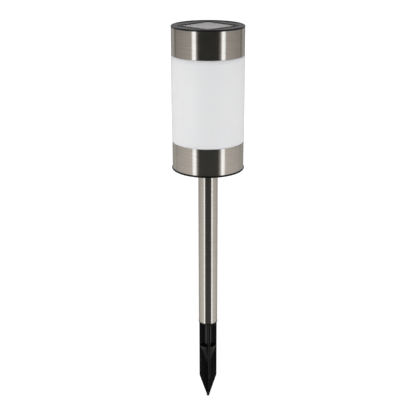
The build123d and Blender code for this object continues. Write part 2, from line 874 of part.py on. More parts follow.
led_flange_top = led_flange_low + led_flange_height
with BuildPart() as led_lens:
    with BuildSketch(Plane.XZ.offset(-led_y)):
        with BuildLine():
            Polyline(
                (0, led_flange_top),
                (led_flange_radius, led_flange_top),
                (led_flange_radius, led_flange_low),
                (led_radius, led_flange_low),
                (led_radius, led_tip + led_radius),
            )
            RadiusArc((led_radius, led_tip + led_radius), (0, led_tip), led_radius)
            Line((0, led_tip), (0, led_flange_top))
        make_face()
    revolve(axis=Axis((0, led_y, 0), (0, 0, 1)))
save(led_lens.part, "led_lens")

with BuildPart() as led_legs:
    with BuildSketch(Plane.XY.offset(led_flange_top)):
        with Locations((-led_leg_spread, led_y), (led_leg_spread, led_y)):
            Rectangle(led_leg_side, led_leg_side)
    extrude(amount=main_board_top + led_leg_stub - led_flange_top)
save(led_legs.part, "led_legs")

with BuildPart() as driver_chip:
    chip_low = main_board_top + chip_lift
    block((-chip_half_width, chip_front, chip_low), (chip_half_width, chip_back, chip_low + chip_height))
    chamfer(driver_chip.edges().filter_by(Axis.Z).group_by(Axis.Y)[0], chip_chamfer)
    chip_y = (chip_front + chip_back) / 2
    with BuildSketch(Plane.XY.offset(main_board_top)):
        with Locations((0, chip_y)):
            with GridLocations(chip_leg_pitch, 0, chip_leg_count, 1):
                Rectangle(2 * chip_leg_half, 2 * chip_leg_half)
    extrude(amount=chip_lift)
save(driver_chip.part, "driver_chip")

with BuildPart() as choke_coil:
    with BuildSketch(Plane.YZ.offset(choke_x - choke_half)):
        with Locations((choke_y, main_board_top + choke_radius + part_play)):
            Circle(choke_radius)
    extrude(amount=2 * choke_half)
    fillet(choke_coil.edges().filter_by(GeomType.CIRCLE), choke_round)
    leg_front = choke_y - choke_leg_half
    leg_back = choke_y + choke_leg_half
    leg_top = main_board_top + choke_leg_rise
    for end in (-1, 1):
        x = choke_x + end * (choke_half + choke_leg_out)
        block((x - choke_leg_half, leg_front, main_board_top), (x + choke_leg_half, leg_back, leg_top))
        near, far = sorted((x, choke_x + end * (choke_half - choke_leg_root)))
        block((near, leg_front, leg_top - 2 * choke_leg_half), (far, leg_back, leg_top))
save(choke_coil.part, "choke_coil")

with BuildPart() as capacitor:
    with BuildSketch(Plane.XY.offset(main_board_top)):
        with Locations((capacitor_x, capacitor_y)):
            Circle(capacitor_radius)
    extrude(amount=capacitor_height)
    fillet(capacitor.edges().group_by(Axis.Z)[-1], capacitor_round)
save(capacitor.part, "capacitor")

# ------------------------------------------------------------------ slide switch
with BuildPart() as switch_body:
    block(
        (-switch_half_x, switch_y - switch_half_y, housing_inside),
        (switch_half_x, switch_y + switch_half_y, housing_inside + switch_height),
    )
    block(
        (-ear_half_x, switch_y - switch_half_y, housing_inside),
        (ear_half_x, switch_y + switch_half_y, housing_inside + ear_thickness),
    )
    block(
        (-slot_half_x, switch_y - slot_half_y, housing_inside),
        (slot_half_x, switch_y + slot_half_y, housing_inside + slot_rise),
        mode=Mode.SUBTRACT,
    )
    with BuildSketch(Plane.XY.offset(housing_inside)):
        with Locations((-ear_hole_x, switch_y), (ear_hole_x, switch_y)):
            Circle(board_screw_radius + part_play)
    extrude(amount=ear_thickness, mode=Mode.SUBTRACT)
save(switch_body.part, "switch_body")

with BuildPart() as switch_screws:
    with BuildSketch(Plane.XY.offset(housing_inside + ear_thickness)):
        with Locations((-ear_hole_x, switch_y), (ear_hole_x, switch_y)):
            Circle(switch_screw_head)
    extrude(amount=switch_screw_head_height)
    with BuildSketch(Plane.XY.offset(housing_low + switch_screw_end)):
        with Locations((-ear_hole_x, switch_y), (ear_hole_x, switch_y)):
            Circle(board_screw_radius)
    extrude(amount=housing_floor_thickness + ear_thickness - switch_screw_end)
save(switch_screws.part, "switch_screws")

with BuildPart() as switch_knob:
    knob_left = -knob_travel / 2 - knob_width / 2
    block(
        (knob_left, switch_y - knob_half_y, housing_low - knob_reach),
        (knob_left + knob_width, switch_y + knob_half_y, housing_inside + knob_rise),
    )
    fillet(switch_knob.edges().group_by(Axis.Z)[0], knob_round)
save(switch_knob.part, "switch_knob")

# ------------------------------------------------------------------ leads inside the cap
tab_top = bay_top + tab_rise
plus_x = bay_right - plate_thickness + plate_metal / 2
minus_x = bay_left + contact_play + plate_metal / 2
switch_top = housing_inside + switch_height
switch_foot_y = main_board_front + switch_foot_inset


def cell_route(side):
    """From the cell's board down through the lid, out, and down to the main board."""
    return [
        (side * cell_lead_x, lead_hole_y, cell_board_low),
        (side * cell_lead_x, lead_hole_y, main_board_top + lead_arch),
        (side * cell_foot_x, lead_hole_y, main_board_top + cell_lead_drop),
        (side * cell_foot_x, lead_hole_y, main_board_top),
    ]


def battery_route(side, tab_x):
    """From a contact's tab up, over the bay, and down to the main board."""
    foot_x, foot_y = battery_foot
    return [
        (tab_x, battery_y, tab_top),
        (tab_x, battery_y, tab_top + tab_lead_rise),
        (side * foot_x, foot_y, main_board_top + lead_arch),
        (side * foot_x, foot_y, main_board_top),
    ]


def switch_route(side):
    """From the switch up, over the board's front edge, and down to the main board."""
    return [
        (side * switch_lead_x, switch_y, switch_top),
        (side * switch_lead_x, switch_y, main_board_top + switch_lead_rise),
        (side * switch_foot_x, switch_foot_y, main_board_top + switch_lead_arch),
        (side * switch_foot_x, switch_foot_y, main_board_top),
    ]


lead_routes = {
    "cell_lead_red": cell_route(1),
    "cell_lead_black": cell_route(-1),
    "battery_lead_red": battery_route(1, plus_x),
    "battery_lead_black": battery_route(-1, minus_x),
    "switch_lead_red": switch_route(1),
    "switch_lead_white": switch_route(-1),
}
for lead_name, lead_points in lead_routes.items():
    save(lead(lead_points), lead_name)
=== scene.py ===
# %% [markdown]
# # A solar garden light
# A stake light in three lengths: a black plastic spike, a brushed steel pole, and a lamp head with a frosted
# shade between two brushed steel bands. A black cap closes the head. It carries a square solar cell on top,
# and the battery, the circuit board and the LED underneath.
#
# The shapes that fit, turn or slide come ready made from the CAD model, and they stay exactly where they are.
# This script gives every one of them its finish, and adds what CAD left plain: the coiled battery spring, the
# printed lines on the cell, the welds down the back of the steel, the solder and the small parts.

import json
import math

import bmesh
import bpy
from mathutils import Matrix, Vector


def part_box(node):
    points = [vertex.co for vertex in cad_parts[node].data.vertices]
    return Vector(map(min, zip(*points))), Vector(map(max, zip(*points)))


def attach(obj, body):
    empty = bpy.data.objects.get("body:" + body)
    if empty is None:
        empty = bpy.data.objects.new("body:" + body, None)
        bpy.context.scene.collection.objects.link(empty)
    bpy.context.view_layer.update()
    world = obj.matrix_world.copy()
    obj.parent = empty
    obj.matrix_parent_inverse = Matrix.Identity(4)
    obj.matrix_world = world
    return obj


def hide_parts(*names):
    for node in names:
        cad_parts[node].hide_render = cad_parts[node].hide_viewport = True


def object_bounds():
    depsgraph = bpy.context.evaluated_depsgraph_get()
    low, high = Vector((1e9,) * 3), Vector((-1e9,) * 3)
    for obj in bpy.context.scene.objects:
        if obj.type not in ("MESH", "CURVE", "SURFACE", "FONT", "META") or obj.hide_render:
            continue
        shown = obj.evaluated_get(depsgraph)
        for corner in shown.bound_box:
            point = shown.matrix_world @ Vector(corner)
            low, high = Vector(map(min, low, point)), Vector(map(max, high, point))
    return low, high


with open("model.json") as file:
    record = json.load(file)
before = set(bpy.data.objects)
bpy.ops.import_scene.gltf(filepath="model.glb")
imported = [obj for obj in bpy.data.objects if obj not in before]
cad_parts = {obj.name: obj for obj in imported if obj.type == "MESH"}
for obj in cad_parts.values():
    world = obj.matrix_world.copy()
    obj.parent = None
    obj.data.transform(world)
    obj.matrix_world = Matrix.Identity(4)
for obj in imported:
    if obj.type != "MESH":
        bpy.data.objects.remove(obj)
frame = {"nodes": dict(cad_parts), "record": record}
cad_low, cad_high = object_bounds()
nodes = frame["nodes"]
MM = 0.001
print("the light stands", round((cad_high.z - cad_low.z) / MM), "mm high with its spike")

# %% [markdown]
# ## A few words for making meshes
# Nearly all of the small pieces are either turned, like a solder cone or a battery sleeve, or made of little
# bars, like the lines on the cell. A turned piece could be a curve with the Screw modifier. Plain mesh code
# was chosen, because it closes the surface itself and leaves nothing to apply. A long bend, such as a spring,
# is drawn as a curve with a round bevel.


# %% Mesh helpers
def finish_mesh(name, mesh_data, material, body, smooth_angle=35.0):
    """Turns a bmesh into a piece with its normals outward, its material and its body."""
    bmesh.ops.recalc_face_normals(mesh_data, faces=mesh_data.faces)
    mesh = bpy.data.meshes.new(name)
    mesh_data.to_mesh(mesh)
    mesh_data.free()
    mesh.materials.append(material)
    mesh.shade_smooth()
    mesh.set_sharp_from_angle(angle=math.radians(smooth_angle))
    piece = bpy.data.objects.new(name, mesh)
    bpy.context.scene.collection.objects.link(piece)
    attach(piece, body)
    print(name, "faces", len(mesh.polygons))
    return piece


def add_turned(mesh_data, outline, place=Matrix.Identity(4), steps=48):
    """Turns a closed outline of (radius, height) points round local Z, then puts it in its place."""
    rings = []
    for radius, height in outline:
        if radius < 1e-7:
            rings.append([mesh_data.verts.new(place @ Vector((0, 0, height)))])
            continue
        turns = [math.tau * step / steps for step in range(steps)]
        ring = [Vector((radius * math.cos(turn), radius * math.sin(turn), height)) for turn in turns]
        rings.append([mesh_data.verts.new(place @ point) for point in ring])
    for lower, upper in zip(rings, rings[1:] + rings[:1]):
        if len(lower) == len(upper) == 1:
            continue
        for step in range(steps):
            after = (step + 1) % steps
            corners = [lower[step % len(lower)], lower[after % len(lower)]]
            corners += [upper[after % len(upper)], upper[step % len(upper)]]
            mesh_data.faces.new(list(dict.fromkeys(corners)))


def add_bar(mesh_data, low, high, place=Matrix.Identity(4), bevel=0.0):
    """A bar between two opposite corners, with its edges broken by a small bevel when one is given."""
    size = [b - a for a, b in zip(low, high)]
    middle = [(a + b) / 2 for a, b in zip(low, high)]
    shape = place @ Matrix.Translation(middle) @ Matrix.Diagonal((*size, 1.0))
    made = bmesh.ops.create_cube(mesh_data, size=1.0, matrix=shape)["verts"]
    if bevel:
        edges = {edge for vert in made for edge in vert.link_edges}
        bmesh.ops.bevel(mesh_data, geom=list(edges), offset=bevel, segments=2, affect="EDGES", profile=0.5)


def centre(node):
    """The middle of a CAD node's box."""
    low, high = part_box(node)
    return (low + high) / 2


# %% [markdown]
# ## A few words for making materials
# Every finish is a small network of shader nodes. Wiring nodes by hand is long-winded, so one helper makes a
# node, sets its plain values and joins its inputs, in a single call. An input is given either a value or the
# output of another node.


# %% Node helpers
def node(tree, kind, settings=None, **inputs):
    """Adds a shader node. settings are its own choices, inputs are sockets, with _ for a space."""
    made = tree.nodes.new(kind)
    for key, value in (settings or {}).items():
        setattr(made, key, value)
    for key, value in inputs.items():
        by_number = key[0] == "i" and key[1:].isdigit()
        socket = made.inputs[int(key[1:]) if by_number else key.replace("_", " ")]
        if isinstance(value, bpy.types.NodeSocket):
            tree.links.new(value, socket)
        else:
            socket.default_value = value
    return made


def maths(tree, operation, first, second=0.0, third=0.0):
    """One sum, with values or sockets."""
    return node(tree, "ShaderNodeMath", {"operation": operation}, i0=first, i1=second, i2=third).outputs[0]


def blend_colours(tree, share, first, second):
    """first where share is 0, second where it is 1."""
    mix = node(tree, "ShaderNodeMix", {"data_type": "RGBA"})
    for index, value in ((0, share), (6, first), (7, second)):
        if isinstance(value, bpy.types.NodeSocket):
            tree.links.new(value, mix.inputs[index])
        else:
            mix.inputs[index].default_value = value
    return mix.outputs[2]


def ramp(tree, share, low, high, out_low=0.0, out_high=1.0):
    """share from low to high, spread out to out_low to out_high, and held at the ends."""
    made = node(tree, "ShaderNodeMapRange", {"clamp": True}, Value=share)
    made.inputs["From Min"].default_value = low
    made.inputs["From Max"].default_value = high
    made.inputs["To Min"].default_value = out_low
    made.inputs["To Max"].default_value = out_high
    return made.outputs[0]


def grey(level):
    return (level, level, level, 1.0)


def new_group(name, inputs, outputs):
    """An empty shader group with named inputs, each with a first value, and named outputs."""
    tree = bpy.data.node_groups.new(name, "ShaderNodeTree")
    for label, value in inputs.items():
        kind = "NodeSocketColor" if isinstance(value, tuple) else "NodeSocketFloat"
        tree.interface.new_socket(label, in_out="INPUT", socket_type=kind).default_value = value
    for label, kind in outputs.items():
        tree.interface.new_socket(label, in_out="OUTPUT", socket_type=kind)
    return tree, tree.nodes.new("NodeGroupInput"), tree.nodes.new("NodeGroupOutput")


def use_group(tree, group, **inputs):
    """Puts a group in a material, with this material's own values."""
    made = tree.nodes.new("ShaderNodeGroup")
    made.node_tree = group
    for key, value in inputs.items():
        socket = made.inputs[key.replace("_", " ")]
        if isinstance(value, bpy.types.NodeSocket):
            tree.links.new(value, socket)
        else:
            socket.default_value = value
    return made.outputs


def new_material(name, **constants):
    """A material with its Principled shader, whose constants are set on the shader itself."""
    material = bpy.data.materials.new(name)
    material.use_nodes = True
    shader = material.node_tree.nodes["Principled BSDF"]
    for key, value in constants.items():
        shader.inputs[key.replace("_", " ")].default_value = value
    return material, material.node_tree, shader


def join(tree, output, shader, label):
    tree.links.new(output, shader.inputs[label])


def bump(tree, height, distance, strength=1.0):
    return node(tree, "ShaderNodeBump", Height=height, Distance=distance, Strength=strength).outputs["Normal"]


# %% [markdown]
# ## Effect 1: brushing round the axis
# The bands and the pole are brushed while they spin, so their scratches are fine rings, long round the axis
# and hair thin along it. An image texture would do it, but it would have to be stretched over each part. Two
# noise textures in the part's own coordinates need no unwrapping: they are squeezed a hundred times more
# along Z than across it. The fine one is the grain, and the coarse one is the few deeper strokes.

# %% Brushed grain group
grain_group, grain_in, grain_out = new_group(
    "ring_brushing",
    {"Lines per metre": 5000.0, "Strokes per metre": 500.0, "Round scale": 45.0, "Stroke share": 0.4},
    {"Grain": "NodeSocketFloat", "Shade": "NodeSocketFloat"},
)
place = node(grain_group, "ShaderNodeTexCoord").outputs["Object"]


def squeezed_noise(tree, coordinates, across, along, detail, seed):
    """Noise that is drawn out into rings: across is its scale in X and Y, along its scale in Z."""
    stretch = node(tree, "ShaderNodeCombineXYZ", X=across, Y=across, Z=along).outputs[0]
    multiply, add = {"operation": "MULTIPLY"}, {"operation": "ADD"}
    scaled = node(tree, "ShaderNodeVectorMath", multiply, i0=coordinates, i1=stretch).outputs[0]
    moved = node(tree, "ShaderNodeVectorMath", add, i0=scaled, i1=(seed, seed, seed)).outputs[0]
    return node(tree, "ShaderNodeTexNoise", Vector=moved, Scale=1.0, Detail=detail, Roughness=0.6).outputs[0]


fine = squeezed_noise(
    grain_group, place, grain_in.outputs["Round scale"], grain_in.outputs["Lines per metre"], 2.0, 3.1
)
strokes = squeezed_noise(
    grain_group, place, grain_in.outputs["Round scale"], grain_in.outputs["Strokes per metre"], 3.0, 17.3
)
grain_mix = node(grain_group, "ShaderNodeMix", i0=grain_in.outputs["Stroke share"], i2=fine, i3=strokes)
grain_group.links.new(grain_mix.outputs[0], grain_out.inputs["Grain"])
grain_group.links.new(ramp(grain_group, strokes, 0.3, 0.7), grain_out.inputs["Shade"])
print("group", grain_group.name)

# %% [markdown]
# ## Effect 2: moulded skin
# A moulded plastic part copies the skin of its mould: a fine spark-eroded grain, and a slow unevenness from
# the way the plastic cooled. One noise gives the grain's height, and a second, much slower, gives the patches
# that shine a little more or less. Every plastic of the light uses this group with its own grain size.

# %% Moulded skin group
skin_group, skin_in, skin_out = new_group(
    "moulded_skin",
    {"Grains per metre": 3000.0, "Patches per metre": 60.0},
    {"Height": "NodeSocketFloat", "Patch": "NodeSocketFloat"},
)
place = node(skin_group, "ShaderNodeTexCoord").outputs["Object"]
grains = node(
    skin_group, "ShaderNodeTexNoise", Vector=place, Scale=skin_in.outputs["Grains per metre"], Detail=3.0
).outputs[0]
patches = node(
    skin_group, "ShaderNodeTexNoise", Vector=place, Scale=skin_in.outputs["Patches per metre"], Detail=2.0
).outputs[0]
skin_group.links.new(grains, skin_out.inputs["Height"])
skin_group.links.new(ramp(skin_group, patches, 0.3, 0.7), skin_out.inputs["Patch"])
print("group", skin_group.name)

# %% [markdown]
# ## Effect 3: rubbed rims
# The cut edge of a thin steel band is deburred, which leaves a narrow bright line along each rim. A mask of
# the height does it: it is 1 within a short distance of either end, and 0 between them.

# %% Rubbed rim group
rim_group, rim_in, rim_out = new_group(
    "rubbed_rims", {"Low end": 0.0, "High end": 1.0, "Width": 0.0008}, {"Rim": "NodeSocketFloat"}
)
place = node(rim_group, "ShaderNodeTexCoord").outputs["Object"]
height = node(rim_group, "ShaderNodeSeparateXYZ", Vector=place).outputs["Z"]
from_low = maths(rim_group, "SUBTRACT", height, rim_in.outputs["Low end"])
from_high = maths(rim_group, "SUBTRACT", rim_in.outputs["High end"], height)
nearest = maths(rim_group, "MINIMUM", from_low, from_high)
share = maths(rim_group, "DIVIDE", nearest, rim_in.outputs["Width"])
rim_group.links.new(ramp(rim_group, share, 0.0, 1.0, 1.0, 0.0), rim_out.inputs["Rim"])
print("group", rim_group.name)

# %% [markdown]
# ## Brushed stainless steel
# Ring brushing blurs a reflection up and down, and leaves it sharp sideways: that is why a brushed tube shows
# upright stripes. The Principled shader does the same with its anisotropy, once its tangent runs round the
# axis. The grain changes the roughness and the tone a little, and the rims are lighter.


# %% Steel
def brushed_steel(name, low_end, high_end, tint, dark_tint):
    material, tree, shader = new_material(
        name, Metallic=1.0, Anisotropic=0.9, Anisotropic_Rotation=0.25
    )
    grain = use_group(tree, grain_group, Lines_per_metre=6000.0, Strokes_per_metre=700.0)
    rim = use_group(tree, rim_group, Low_end=low_end, High_end=high_end, Width=0.4 * MM)
    worked = blend_colours(tree, grain["Shade"], dark_tint, tint)
    join(tree, blend_colours(tree, rim["Rim"], worked, grey(0.68)), shader, "Base Color")
    join(tree, ramp(tree, grain["Grain"], 0.25, 0.75, 0.15, 0.21), shader, "Roughness")
    join(tree, bump(tree, grain["Grain"], 0.002 * MM, 0.2), shader, "Normal")
    round_axis = node(tree, "ShaderNodeTangent", {"direction_type": "RADIAL", "axis": "Z"})
    join(tree, round_axis.outputs[0], shader, "Tangent")
    return material


steel_tint = (0.66, 0.625, 0.59, 1.0)
steel_dark = (0.58, 0.55, 0.515, 1.0)
steel_parts = {}
for part in ("upper_band", "lower_band", "pole_tube"):
    low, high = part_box(part)
    steel_parts[part] = brushed_steel(f"brushed_{part}", low.z, high.z, steel_tint, steel_dark)
print("steel", list(steel_parts))

# %% [markdown]
# ## Black plastic
# The spike, the base, the lid and the housing are moulded in black. They differ in how they shine: the spike
# and the housing are satin, and the lid, which is seen most, has a finer grain and more gloss. One function
# makes them all. Black plastic is never quite black, so its tone moves a little between two dark greys.


# %% Moulded plastic
def moulded(name, tone, roughness, grains, depth, spread=0.25, **constants):
    """A moulded plastic. tone is its colour, grains the grain's scale, depth the grain's height in metres."""
    material, tree, shader = new_material(name, Specular_IOR_Level=0.5, **constants)
    skin = use_group(tree, skin_group, Grains_per_metre=grains, Patches_per_metre=70.0)
    darker = tuple(value * (1 - spread) for value in tone[:3]) + (1.0,)
    join(tree, blend_colours(tree, skin["Patch"], darker, tone), shader, "Base Color")
    spread_rough = ramp(tree, skin["Patch"], 0.0, 1.0, roughness - 0.04, roughness + 0.04)
    join(tree, spread_rough, shader, "Roughness")
    join(tree, bump(tree, skin["Height"], depth, 0.5), shader, "Normal")
    return material


spike_black = moulded("spike_black", (0.0035, 0.0035, 0.004, 1.0), 0.3, 2600.0, 0.01 * MM)
base_black = moulded("base_black", (0.005, 0.005, 0.005, 1.0), 0.3, 3200.0, 0.008 * MM)
lid_black = moulded("lid_black", (0.007, 0.007, 0.0075, 1.0), 0.23, 3800.0, 0.006 * MM)
housing_black = moulded("housing_black", (0.014, 0.014, 0.015, 1.0), 0.42, 3000.0, 0.015 * MM)
knob_white = moulded("knob_white", (0.8, 0.8, 0.78, 1.0), 0.35, 3500.0, 0.008 * MM, spread=0.05)
tape_black = moulded("tape_black", (0.01, 0.01, 0.01, 1.0), 0.7, 5000.0, 0.03 * MM)
seal_rubber = moulded("seal_rubber", (0.035, 0.035, 0.037, 1.0), 0.6, 2500.0, 0.012 * MM)
chip_epoxy = moulded("chip_epoxy", (0.015, 0.015, 0.016, 1.0), 0.55, 6000.0, 0.01 * MM)
print("plastics made")

# %% [markdown]
# ## The frosted shade
# The shade is opal acrylic with a frosted outside. Light goes in, scatters within the wall and comes out
# close by, so it looks evenly white and has no hard shadow. Subsurface scattering gives that glow at little
# cost. The dark cap inside takes the light away from the top of the wall. That shade is painted into the
# base colour, which darkens towards the top. A very slow change of tone keeps the rest from looking printed.

# %% Shade
shade_white, tree, shader = new_material(
    "frosted_shade",
    Subsurface_Weight=0.85,
    Subsurface_Radius=(1.0, 0.97, 0.95),
    Subsurface_Scale=6.0 * MM,
    Specular_IOR_Level=0.45,
)
skin = use_group(tree, skin_group, Grains_per_metre=2200.0, Patches_per_metre=14.0)
milk = blend_colours(tree, skin["Patch"], (0.9, 0.905, 0.91, 1.0), (0.925, 0.925, 0.925, 1.0))
shade_place = node(tree, "ShaderNodeTexCoord").outputs["Object"]
shade_height = node(tree, "ShaderNodeSeparateXYZ", Vector=shade_place).outputs["Z"]
upper_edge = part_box("upper_band")[0].z
steep_fall, slow_fall = 5 * MM, 30 * MM
# Painted shade: the base colour darkens over the top of the wall, where the cap inside takes the light away.
steep_painted_shade = ramp(tree, shade_height, upper_edge - steep_fall, upper_edge, 0.0, 0.3)
slow_painted_shade = ramp(tree, shade_height, upper_edge - slow_fall, upper_edge, 0.0, 0.12)
painted_cap_shade = maths(tree, "ADD", steep_painted_shade, slow_painted_shade)
milk = blend_colours(tree, painted_cap_shade, milk, (0.5, 0.5, 0.51, 1.0))
join(tree, milk, shader, "Base Color")
join(tree, ramp(tree, skin["Patch"], 0.0, 1.0, 0.3, 0.35), shader, "Roughness")
join(tree, bump(tree, skin["Height"], 0.02 * MM, 0.4), shader, "Normal")
print("shade made")

# %% [markdown]
# ## Plated and bare metal
# The small metal parts share one recipe: a metal, a tint, a roughness and a fine random grain. Nickel is
# warm, zinc is a little blue and tin is soft and dull. The reflector is plastic with a mirror coat, so it is
# nearly smooth.


# %% Plated metal
def plated(name, tint, roughness, grains=4000.0, depth=0.002 * MM):
    material, tree, shader = new_material(name, Metallic=1.0)
    skin = use_group(tree, skin_group, Grains_per_metre=grains, Patches_per_metre=180.0)
    duller = tuple(value * 0.82 for value in tint[:3]) + (1.0,)
    join(tree, blend_colours(tree, skin["Patch"], duller, tint), shader, "Base Color")
    join(tree, ramp(tree, skin["Patch"], 0.0, 1.0, roughness + 0.06, roughness - 0.03), shader, "Roughness")
    join(tree, bump(tree, skin["Height"], depth, 0.5), shader, "Normal")
    return material


nickel = plated("nickel_contact", (0.72, 0.68, 0.62, 1.0), 0.24)
zinc = plated("zinc_screw", (0.63, 0.65, 0.68, 1.0), 0.32)
ground_wire = plated("ground_wire", (0.62, 0.61, 0.6, 1.0), 0.22)
battery_steel = plated("battery_steel", (0.7, 0.68, 0.65, 1.0), 0.27)
switch_plate = plated("switch_plate", (0.66, 0.65, 0.62, 1.0), 0.33)
tin = plated("tin", (0.75, 0.75, 0.76, 1.0), 0.36, grains=6000.0)
mirror_coat = plated("mirror_coat", (0.86, 0.86, 0.87, 1.0), 0.08, grains=900.0, depth=0.0015 * MM)
print("metals made")


# %% [markdown]
# ## Films, lacquer and wire covers
# Shrink film, lacquer and PVC are thin glossy skins over something else. They use the plastic recipe with a
# clear coat, which gives the sharp highlight over a softer one. The battery's film is printed: a grey band
# with a white line marks its plus end, and how far along the battery a point lies decides which tone it gets.

# %% Glossy skins
def glossy(name, tone, roughness=0.35, coat=0.5):
    return moulded(
        name, tone, roughness, 1500.0, 0.006 * MM, spread=0.12, Coat_Weight=coat, Coat_Roughness=0.12
    )


battery_film = glossy("battery_film", (0.02, 0.16, 0.07, 1.0), 0.3, 0.7)
tree = battery_film.node_tree
shader = tree.nodes["Principled BSDF"]
film_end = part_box("battery_sleeve")[1].x
film_place = node(tree, "ShaderNodeTexCoord").outputs["Object"]
film_x = node(tree, "ShaderNodeSeparateXYZ", Vector=film_place).outputs["X"]
plus_band = ramp(tree, film_x, film_end - 9.2 * MM, film_end - 9.0 * MM)
print_line = ramp(tree, film_x, film_end - 10.4 * MM, film_end - 10.3 * MM)
green = shader.inputs["Base Color"].links[0].from_socket
printed = blend_colours(tree, print_line, green, (0.75, 0.75, 0.73, 1.0))
join(tree, blend_colours(tree, plus_band, printed, (0.35, 0.36, 0.37, 1.0)), shader, "Base Color")
choke_lacquer = glossy("choke_lacquer", (0.04, 0.2, 0.17, 1.0))
capacitor_film = glossy("capacitor_film", (0.012, 0.016, 0.07, 1.0))
wire_red = glossy("wire_red", (0.42, 0.012, 0.01, 1.0), 0.4, 0.3)
wire_black = glossy("wire_black", (0.012, 0.012, 0.012, 1.0), 0.4, 0.3)
wire_white = glossy("wire_white", (0.7, 0.7, 0.68, 1.0), 0.4, 0.3)
print("skins made")

# %% [markdown]
# ## Circuit board
# The laminate is woven glass under a green solder mask. The weave shows as a faint square pattern in the
# mask, and two crossed wave textures give it in the board's own plane.

# %% Laminate
laminate_green, tree, shader = new_material(
    "laminate_green", Roughness=0.35, Coat_Weight=0.4, Coat_Roughness=0.2
)
place = node(tree, "ShaderNodeTexCoord").outputs["Object"]
waves = [
    node(
        tree, "ShaderNodeTexWave", {"wave_type": "BANDS", "bands_direction": way}, Vector=place, Scale=380.0
    ).outputs[1]
    for way in ("X", "Y")
]
weave = maths(tree, "MULTIPLY", waves[0], waves[1])
woven_green = blend_colours(tree, weave, (0.008, 0.07, 0.03, 1.0), (0.014, 0.11, 0.05, 1.0))
join(tree, woven_green, shader, "Base Color")
join(tree, bump(tree, weave, 0.01 * MM, 0.3), shader, "Normal")
print("laminate made")

# %% [markdown]
# ## The solar cell and its window
# The cell is a wafer with a dark antireflection coat. Seen steeply it is a deep blue grey. Seen low, as a
# person sees it in the garden, the sky's glare on the coat turns it pale. The shader's sheen and clear coat
# give part of that, and the rest is a painted reflection: the base colour is a pale mauve grey, far lighter
# than the wafer, with a random crystal pattern in it. The window over it is clear acrylic with a fine moulded
# grain, which blurs what lies behind.

# %% Cell
silicon, tree, shader = new_material(
    "silicon",
    Metallic=0.0,
    Specular_IOR_Level=0.8,
    Coat_Weight=0.6,
    Coat_Roughness=0.25,
    Sheen_Weight=0.5,
    Sheen_Roughness=0.5,
    Sheen_Tint=(0.95, 0.92, 0.97, 1.0),
)
place = node(tree, "ShaderNodeTexCoord").outputs["Object"]
crystals = node(tree, "ShaderNodeTexVoronoi", {"feature": "F1"}, Vector=place, Scale=260.0).outputs["Color"]
crystal_tone = node(tree, "ShaderNodeSeparateColor", Color=crystals).outputs[0]
# Painted reflection: the cell's pale base colour stands in for the sky's glare on the dark coat, over a
# random crystal pattern.
crystal_and_painted_glare = blend_colours(tree, crystal_tone, (0.5, 0.465, 0.495, 1.0), (0.58, 0.545, 0.57, 1.0))
join(tree, crystal_and_painted_glare, shader, "Base Color")
join(tree, ramp(tree, crystal_tone, 0.0, 1.0, 0.3, 0.42), shader, "Roughness")
print("silicon made")

# %% Window
window_clear, tree, shader = new_material(
    "window_clear", Transmission_Weight=1.0, IOR=1.49, Specular_IOR_Level=0.6
)
skin = use_group(tree, skin_group, Grains_per_metre=2600.0, Patches_per_metre=30.0)
join(tree, blend_colours(tree, skin["Patch"], grey(0.96), grey(1.0)), shader, "Base Color")
join(tree, ramp(tree, skin["Patch"], 0.0, 1.0, 0.08, 0.14), shader, "Roughness")
join(tree, bump(tree, skin["Height"], 0.004 * MM, 0.2), shader, "Normal")

led_epoxy, tree, shader = new_material("led_epoxy", Transmission_Weight=1.0, IOR=1.53)
skin = use_group(tree, skin_group, Grains_per_metre=900.0, Patches_per_metre=300.0)
join(tree, blend_colours(tree, skin["Patch"], (0.97, 0.97, 0.93, 1.0), grey(1.0)), shader, "Base Color")
join(tree, ramp(tree, skin["Patch"], 0.0, 1.0, 0.02, 0.06), shader, "Roughness")

phosphor = moulded("phosphor", (0.85, 0.62, 0.08, 1.0), 0.6, 5000.0, 0.01 * MM, spread=0.1)
print("clear parts made")

# %% [markdown]
# ## Giving every CAD part its finish
# The record says which finish slot each node uses. A dictionary from slot to material does the rest, and the
# three steel parts take their own versions, because the rims are at different heights.

# %% Assign finishes
finishes = {
    "spike_plastic": spike_black,
    "base_plastic": base_black,
    "lid_plastic": lid_black,
    "housing_plastic": housing_black,
    "shade_acrylic": shade_white,
    "seal_rubber": seal_rubber,
    "reflector_plating": mirror_coat,
    "window_clear": window_clear,
    "tape_black": tape_black,
    "cell_silicon": silicon,
    "board_laminate": laminate_green,
    "screw_steel": zinc,
    "pin_steel": ground_wire,
    "cell_can": battery_steel,
    "sleeve_film": battery_film,
    "contact_nickel": nickel,
    "led_epoxy": led_epoxy,
    "tinned_wire": tin,
    "chip_epoxy": chip_epoxy,
    "choke_lacquer": choke_lacquer,
    "capacitor_film": capacitor_film,
    "switch_metal": switch_plate,
    "knob_plastic": knob_white,
    "lead_red": wire_red,
    "lead_black": wire_black,
    "lead_white": wire_white,
}
for entry in frame["record"]["subparts"]:
    part = nodes[entry["node"]]
    finish = steel_parts.get(entry["node"]) or finishes[entry["material_slot"]]
    part.data.materials.clear()
    part.data.materials.append(finish)

# %% [markdown]
# ## Welds down the back
# Each band is a strip rolled into a ring and the pole is a rolled tube, and both are closed by a fine weld
# that is ground nearly flat. It runs up the back, away from the viewer. It could be a bump, but a real bead
# catches the light at its edge, so it is a thin raised strip that follows the steel's curve.


